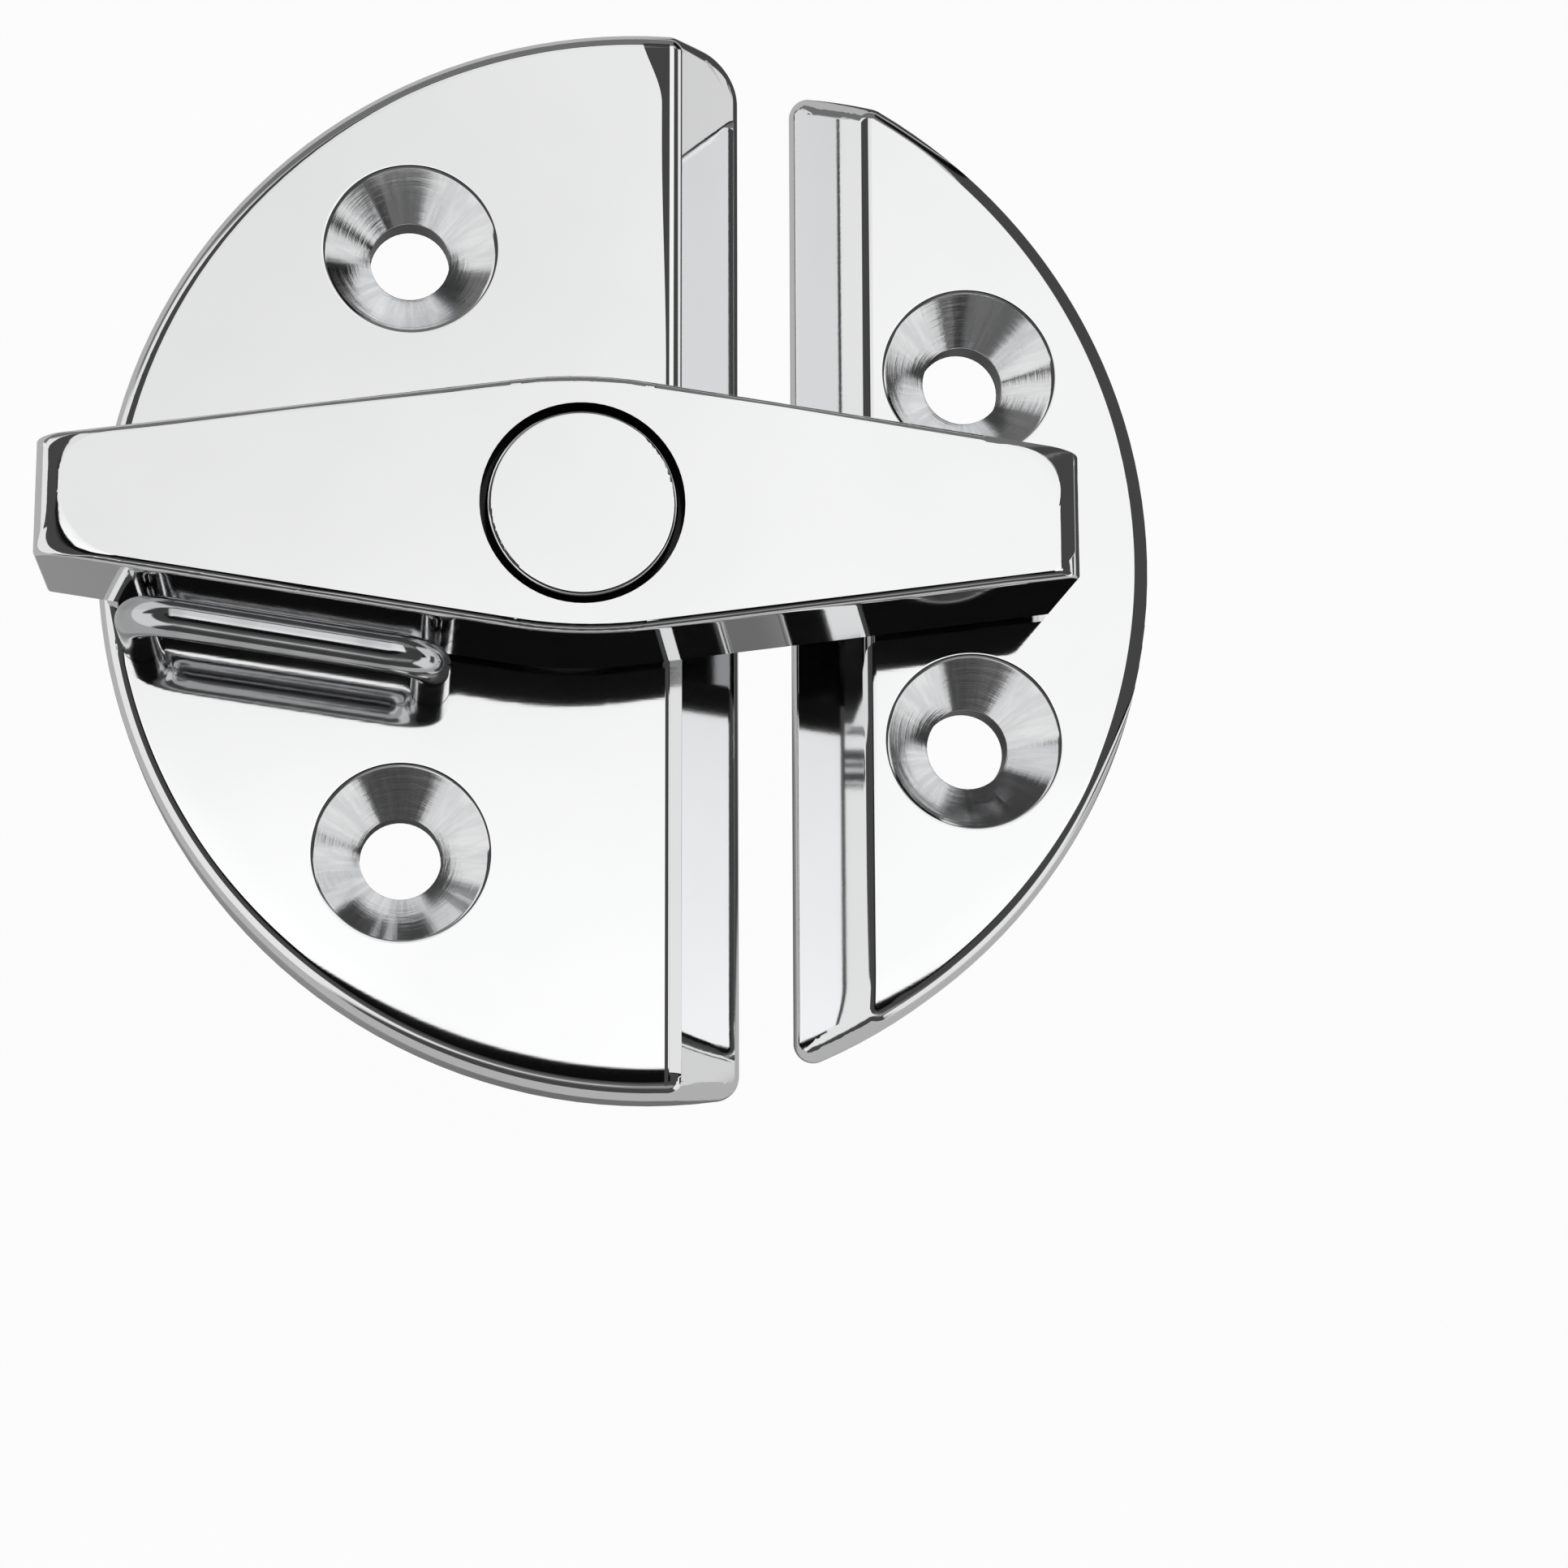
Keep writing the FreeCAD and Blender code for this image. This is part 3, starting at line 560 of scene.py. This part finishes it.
def round_finish(name, centre, ring_depth, dull_shade_radius=1.0, dull_shade_below=0.0):
    """Turned and buffed steel, with rings round an upright axis.

    What lies beyond the given radius and under the given height was never
    buffed, and is coloured near black there: a painted shade."""
    material, tree = new_material(name)
    point = place(tree)
    colour, roughness, height = polish(tree, point, TURN_LAY)
    x, y, z = split(tree, point)
    across, along = x - centre[0], y - centre[1]
    radius = length_of(across, along)
    rings = join(tree, radius / TURN_PITCH, across * TURN_WOBBLE, along * TURN_WOBBLE)
    rings = grain(tree, rings, 1.0, detail=3.0)
    dull_and_shade = radius.rise(dull_shade_radius - RECESS_SKIN, dull_shade_radius) * (
        1.0 - z.rise(dull_shade_below - RECESS_SKIN, dull_shade_below))
    # Painted shade: what was never buffed is coloured near black; its dullness is real.
    colour = blend(tree, dull_and_shade, colour, PAINTED_RECESS_SHADE)
    roughness = roughness + TURN_DULL * rings.rise(*TURN_BAND) + dull_and_shade * BORE_DULL
    normal = bump(tree, height + rings * ring_depth, HAIRLINE_DEPTH)
    finish_metal(tree, colour, roughness, normal)
    return material


def middle(name):
    """The middle of a node's box."""
    low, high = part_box(name)
    return (Vector(low) + Vector(high)) / 2


lever_steel = lever_finish(middle("pivot_pin"))
pin_steel = round_finish("pin_steel", middle("pivot_pin"), PIN_RINGS,
                         PIN_HEAD_RADIUS, PIN_DULL_SHADE_BELOW)
nub_steel = round_finish("nub_steel", middle("strike_nub"), NUB_RINGS)
print("pin's middle in mm:", in_mm(middle("pivot_pin")))

# %% [markdown]
# ## The wire pull
# The pull is bent from drawn wire and only tumbled bright, so it is a little
# darker and duller than the buffed castings. Drawing leaves fine lines along
# the wire, which on its top run lie along the pull.

# %% Values of the wire
WIRE_BRIGHT = (0.68, 0.685, 0.695, 1.0)
WIRE_SHADED = (0.52, 0.525, 0.535, 1.0)
WIRE_LAY = (300.0, 7000.0, 1500.0)
WIRE_DULL = 0.06
DENT_SCALE = 420.0
DENT_BAND = (0.45, 0.85)
DENT_HEIGHT = 3.0


# %% The finish of the wire
def wire_finish():
    """Drawn and tumbled wire: soft dents, and lines along its runs."""
    material, tree = new_material("wire_steel")
    point = place(tree)
    roughness, height = polish(tree, point, WIRE_LAY)[1:]
    dents = grain(tree, point, DENT_SCALE, detail=1.0)
    worn = dents.rise(*DENT_BAND)
    finish_metal(tree, blend(tree, worn, WIRE_BRIGHT, WIRE_SHADED),
                 roughness + WIRE_DULL + WIRE_DULL * worn,
                 bump(tree, height + dents * DENT_HEIGHT, HAIRLINE_DEPTH))
    return material


wire_steel = wire_finish()
print("wire colours:", WIRE_BRIGHT[:3], WIRE_SHADED[:3])

# %% [markdown]
# ## Washers and spring
# The wearing washers are moulded nylon, black and satin, with a faint mould
# texture. The disc spring is stamped from hard strip, browner and duller than
# the castings, and the backing washer is plain stamped steel.

# %% Values of the hidden pieces
NYLON_BLACK = (0.012, 0.012, 0.013, 1.0)
NYLON_WORN = (0.035, 0.035, 0.037, 1.0)
SPRING_GREY = (0.42, 0.405, 0.385, 1.0)
SPRING_DARK = (0.30, 0.285, 0.27, 1.0)
STAMPED_GREY = (0.56, 0.565, 0.575, 1.0)
STAMPED_DARK = (0.44, 0.445, 0.455, 1.0)
NYLON_PEBBLE, NYLON_PEBBLE_DEPTH = 3200.0, 6.0e-6
NYLON_RUBBED, NYLON_RUBBED_BAND = 380.0, (0.5, 0.75)
NYLON_DULL, NYLON_SHINE = 0.52, 0.16
ROLLED_LAY, ROLLED_DEPTH, ROLLED_DULL = (500.0, 6500.0, 6500.0), 2.0e-6, 0.12
MOTTLE_SCALE, MOTTLE_BAND = 700.0, (0.35, 0.7)
SPRING_DULL, STAMPED_DULL = 0.30, 0.24


# %% The finishes of the washers and the spring
def nylon_finish():
    """Moulded nylon: a fine pebble and rubbed patches."""
    material, tree = new_material("black_nylon")
    point = place(tree)
    pebble = grain(tree, point, NYLON_PEBBLE, detail=2.0)
    rubbed = grain(tree, point, NYLON_RUBBED, detail=3.0).rise(*NYLON_RUBBED_BAND)
    finish_metal(tree, blend(tree, rubbed, NYLON_BLACK, NYLON_WORN),
                 NYLON_DULL - NYLON_SHINE * rubbed,
                 bump(tree, pebble, NYLON_PEBBLE_DEPTH), metallic=0.0)
    return material


def strip_finish(name, light, dark, roughness):
    """Stamped strip: rolling lines one way, and mottling."""
    material, tree = new_material(name)
    point = place(tree)
    lines = grain(tree, stretch(tree, point, ROLLED_LAY), 1.0, detail=3.0)
    mottle = grain(tree, point, MOTTLE_SCALE, detail=3.0).rise(*MOTTLE_BAND)
    finish_metal(tree, blend(tree, mottle, light, dark),
                 roughness + ROLLED_DULL * lines, bump(tree, lines, ROLLED_DEPTH))
    return material


black_nylon = nylon_finish()
spring_steel = strip_finish("spring_steel", SPRING_GREY, SPRING_DARK, SPRING_DULL)
stamped_steel = strip_finish("stamped_steel", STAMPED_GREY, STAMPED_DARK, STAMPED_DULL)
print("materials so far:", len(bpy.data.materials))

# %% [markdown]
# ## Giving each piece its finish
# A mirror shows the slightest error in a surface's normals. The solids come
# as loose triangles whose corners each keep a normal, and beside a small
# round edge those lean a little, which would show as a smudge. Three live
# modifiers mend that and leave the mesh alone: Weld joins the triangles,
# Edge Split keeps the hard edges hard, and Weighted Normal lets the large
# faces decide, so that flats are flat right up to their round edges.

# %% Finishes by node
finishes = {
    "base_plate": base_steel,
    "strike_plate": strike_steel,
    "strike_nub": nub_steel,
    "turn_lever": lever_steel,
    "pivot_pin": pin_steel,
    "pull_bail": wire_steel,
    "thrust_washer": black_nylon,
    "head_washer": black_nylon,
    "disc_spring": spring_steel,
    "backing_washer": stamped_steel,
}
HARD_EDGE = math.radians(24)
WELD_DISTANCE = 1e-6
FLATS_DECIDE = 100


def true_normals(piece):
    """Weld, Edge Split and Weighted Normal, live on a piece."""
    weld = piece.modifiers.new("join", "WELD")
    weld.merge_threshold = WELD_DISTANCE
    hard = piece.modifiers.new("hard_edges", "EDGE_SPLIT")
    hard.split_angle = HARD_EDGE
    hard.use_edge_sharp = False
    flats = piece.modifiers.new("flats", "WEIGHTED_NORMAL")
    flats.mode = "FACE_AREA"
    flats.weight = FLATS_DECIDE
    flats.keep_sharp = True


for name, piece in nodes.items():
    piece.data.materials.clear()
    piece.data.materials.append(finishes[name])
    if finishes[name] is not black_nylon:
        true_normals(piece)
print("finished nodes:", len(finishes))

# %% [markdown]
# ## The light
# A mirror has no look of its own: it shows the studio. Here that is a white
# ceiling light over the catch, a dark room round it, pale walls low down and
# a white table. Flats that face the ceiling turn white, round edges sweep
# through the dark room and draw thin black lines, and upright faces show the
# table. The low right side and the far right corner are dark, which gives the
# rims on that side their dark bands. Two dim panels, past the ceiling light on
# the far right and behind the camera, only show from other sides, where the
# tops would else mirror the dark room. All of it is one world, painted by
# direction, at a plain level: x points right, y away from the wire pull, z up.

# %% Values of the ceiling light and the panels, with spans as sideways over up
LEAST_UP = 0.02
CEILING_X = (-0.26, 0.6)
CEILING_Y = (-0.03, 0.95)
CEILING_SOFT = 0.02
CEILING_DIM = 0.93
CEILING_FULL = 1.11
CEILING_DIM_Y = (0.06, 0.36)
SIDE_DIM, SIDE_DIM_X, SIDE_DIM_Y = 0.12, (-0.14, 0.12), (0.12, 0.22)
RIGHT_GAIN, RIGHT_GAIN_X, RIGHT_GAIN_Y = 0.05, (0.08, 0.16), (0.2, 0.3)
PANEL_SOFT = 0.12
WINDOW_X, WINDOW_Y, WINDOW_GLOW = (0.52, 1.05), (0.62, 1.25), 0.6
BEHIND_X, BEHIND_Y, BEHIND_GLOW = (-1.1, 1.1), (-1.6, -0.85), 0.3

# %% Values of the walls and the room, with spans as parts of a direction
WALL_TOP = 0.34
WALL_TOP_FAR = 0.5
WALL_TOP_NEAR, WALL_NEAR_X, WALL_NEAR_Y = 0.34, (0.0, 0.2), (-0.14, -0.08)
WALL_TOP_RIGHT, WALL_RIGHT_X, WALL_RIGHT_Y = 0.14, (0.45, 0.6), (0.05, 0.2)
WALL_SOFT = 0.03
WALL_WHITE = 0.85
WALL_END_Y = (-0.84, -0.74)
FAR_GREY, FAR_Y, FAR_LOW_Y, FAR_LOW_Z = 0.8, (0.64, 0.74), (0.45, 0.55), (0.24, 0.32)
DARK_SIDE_X, DARK_SIDE_Y, DARK_SIDE_Z = (0.3, 0.5), (-0.4, -0.2), (0.15, 0.18)
CORNER_X, CORNER_Y = (0.32, 0.44), (0.36, 0.48)
ROOM_BLACK = 0.004
ROOM_GREY, ROOM_GREY_FROM, ROOM_GREY_TO = 0.058, (0.42, 0.48), (0.90, 0.95)
ROOM_BEHIND, ROOM_BEHIND_Y, ROOM_BEHIND_Z = 0.06, (0.45, 0.6), (0.84, 0.9)


def between(value, span, soft):
    """1 inside a span and 0 outside it, with soft ends."""
    low, high = span
    return value.rise(low, low + soft) * (1.0 - value.rise(high - soft, high))


# %% Paint the studio
def ceiling_light(x, y, up):
    """The white light overhead, a little brighter towards the near edge."""
    glow = CEILING_DIM + (CEILING_FULL - CEILING_DIM) * (1.0 - y.rise(*CEILING_DIM_Y))
    glow = glow - SIDE_DIM * (x * -1.0).rise(*SIDE_DIM_X) * y.rise(*SIDE_DIM_Y)
    glow = glow + RIGHT_GAIN * x.rise(*RIGHT_GAIN_X) * y.rise(*RIGHT_GAIN_Y)
    return (between(x / up, CEILING_X, CEILING_SOFT)
            * between(y / up, CEILING_Y, CEILING_SOFT) * glow)


def panel_light(x, y, up):
    """The two dim panels that the other views mirror."""
    window = between(x / up, WINDOW_X, PANEL_SOFT) * between(y / up, WINDOW_Y, PANEL_SOFT)
    behind = between(x / up, BEHIND_X, PANEL_SOFT) * between(y / up, BEHIND_Y, PANEL_SOFT)
    return (window * WINDOW_GLOW).larger(behind * BEHIND_GLOW)


def wall_light(x, y, z, dark_side):
    """Pale walls, of a height that changes round the room."""
    toward_camera = y * -1.0
    top = (WALL_TOP + y.larger(0.0) * WALL_TOP_FAR
           + WALL_TOP_NEAR * toward_camera.rise(*WALL_NEAR_Y) * (1.0 - x.rise(*WALL_NEAR_X))
           + WALL_TOP_RIGHT * x.rise(*WALL_RIGHT_X) * toward_camera.rise(*WALL_RIGHT_Y))
    walls = (1.0 - (z - top).rise(-WALL_SOFT, 0.0)) * y.rise(*WALL_END_Y)
    far = (y.rise(*FAR_LOW_Y) * (1.0 - z.rise(*FAR_LOW_Z))).larger(y.rise(*FAR_Y))
    corner = x.rise(*CORNER_X) * y.rise(*CORNER_Y)
    return walls * WALL_WHITE * (1.0 - FAR_GREY * far) * (1.0 - dark_side) * (1.0 - corner)


def room_light(y, z, dark_side):
    """The dark room between the walls and the ceiling light."""
    toward_camera = y * -1.0
    room = ROOM_BLACK + ROOM_GREY * z.rise(*ROOM_GREY_FROM) * (1.0 - z.rise(*ROOM_GREY_TO))
    room = room + (ROOM_BEHIND * toward_camera.rise(*ROOM_BEHIND_Y)
                   * (1.0 - z.rise(*ROOM_BEHIND_Z)))
    return room.larger(dark_side * ROOM_GREY)


def paint_studio():
    """The world: each part of the studio by direction, and white to the camera."""
    world = bpy.data.worlds.new("studio")
    bpy.context.scene.world = world
    world.use_nodes = True
    tree = world.node_tree
    tree.nodes.clear()
    x, y, z = split(tree, add_node(tree, "ShaderNodeTexCoord", output="Generated"))
    up = z.larger(LEAST_UP)
    dark_side = x.rise(*DARK_SIDE_X) * y.rise(*DARK_SIDE_Y) * (1.0 - z.rise(*DARK_SIDE_Z))
    light = (ceiling_light(x, y, up).larger(wall_light(x, y, z, dark_side))
             .larger(room_light(y, z, dark_side)).larger(panel_light(x, y, up)))
    light = light.larger(add_node(tree, "ShaderNodeLightPath", output="Is Camera Ray"))
    shader = add_node(tree, "ShaderNodeBackground", values={
        "Color": join(tree, light, light, light), "Strength": 1.0})
    close_tree(tree, shader, "ShaderNodeOutputWorld")


paint_studio()
print("ceiling spans, as slopes:", CEILING_X, CEILING_Y)

# %% [markdown]
# ## The table
# A plain pale table. The camera sees it white, and a part of it stays an
# ordinary matt surface, so the catch still throws a soft shadow on it. It lies
# 31 mm below the catch, because the strike slides 30 mm down and has to stay
# in sight. A mirror-polished piece shows the table too, and what a reflection
# sees of it is painted: a grey glow, painted light far out to the right, a
# painted shadow close under the catch, and a painted dark patch beyond the
# strike.

# %% Values of the table
TABLE_RADIUS = 3.0
TABLE_SIDES = 96
TABLE_HEIGHT = -0.031
TABLE_GLOW = 0.96
TABLE_WHITE = (0.9, 0.9, 0.9, 1.0)
PURE_WHITE = (1.0, 1.0, 1.0, 1.0)
# The table's glow as reflections see it: grey, with painted light far out to the right.
MIRRORED = 0.23
MIRRORED_FAR, MIRRORED_FAR_X = 0.34, (0.24, 0.34)
# The colour of the painted shade, which only reflections see.
SHADE_DARK = (0.18, 0.18, 0.18, 1.0)
# A painted dark patch beyond the strike, seen only in reflections.
PAINTED_PATCH_ROUND = (0.0352, 0.0356)
PAINTED_PATCH_X, PAINTED_PATCH_END_X = (0.028, 0.032), (0.2, 0.24)
PAINTED_PATCH_Y, PAINTED_PATCH_END_Y = (-0.022, -0.014), (0.2, 0.26)
# A painted shadow close under the catch, seen only in reflections.
PAINTED_SHADOW = 0.45
PAINTED_SHADOW_RIGHT, PAINTED_SHADOW_RIGHT_X = 0.26, (-0.01, 0.01)
PAINTED_SHADOW_X, PAINTED_SHADOW_Y, PAINTED_SHADOW_SOFT = (-0.04, 0.036), (-0.05, 0.002), 0.008


# %% The table
bpy.ops.object.select_all(action="DESELECT")
bpy.ops.mesh.primitive_circle_add(vertices=TABLE_SIDES, radius=TABLE_RADIUS,
                                  fill_type="NGON", location=(0.0, 0.0, TABLE_HEIGHT))
table = bpy.context.object
table.name = "table"


def table_shade(x, y):
    """How dark a reflection sees the table: a painted dark patch beyond the
    strike, and a painted shadow close under the catch."""
    out = length_of(x - STRIKE_CENTRE, y)
    # A painted dark patch beyond the strike.
    painted_dark_patch = (out.rise(*PAINTED_PATCH_ROUND) * x.rise(*PAINTED_PATCH_X) * (1.0 - x.rise(*PAINTED_PATCH_END_X))
             * y.rise(*PAINTED_PATCH_Y) * (1.0 - y.rise(*PAINTED_PATCH_END_Y)))
    # A painted shadow close under the catch.
    painted_shadow = PAINTED_SHADOW + PAINTED_SHADOW_RIGHT * x.rise(*PAINTED_SHADOW_RIGHT_X)
    painted_shadow = painted_shadow * between(x, PAINTED_SHADOW_X, PAINTED_SHADOW_SOFT) * between(y, PAINTED_SHADOW_Y, PAINTED_SHADOW_SOFT)
    return painted_dark_patch.larger(painted_shadow)


def table_finish():
    """White where it is seen, grey with painted light and shade where it is mirrored, matt
    where it is lit.
    """
    material, tree = new_material("table_white")
    camera_ray = add_node(tree, "ShaderNodeLightPath", output="Is Camera Ray")
    mirror_ray = add_node(tree, "ShaderNodeLightPath", output="Is Glossy Ray")
    clear_ray = add_node(tree, "ShaderNodeLightPath", output="Is Transmission Ray")
    x, y = split(tree, place(tree))[:2]
    # Painted shade that only reflections see: a darker glow, and a darker matt colour.
    shade = table_shade(x, y) * mirror_ray
    mirrored = MIRRORED + MIRRORED_FAR * x.rise(*MIRRORED_FAR_X)
    glow = (camera_ray.larger(clear_ray) * TABLE_GLOW).larger(
        mirror_ray * mirrored * (1.0 - shade))
    matt = add_node(tree, "ShaderNodeBsdfDiffuse", values={
        "Color": blend(tree, shade, TABLE_WHITE, SHADE_DARK)})
    white = add_node(tree, "ShaderNodeEmission", values={"Color": PURE_WHITE})
    shader = add_node(tree, "ShaderNodeMixShader", values={0: glow, 1: matt, 2: white})
    close_tree(tree, shader)
    return material


table.data.materials.append(table_finish())
print("table height in mm:", in_mm([TABLE_HEIGHT]))
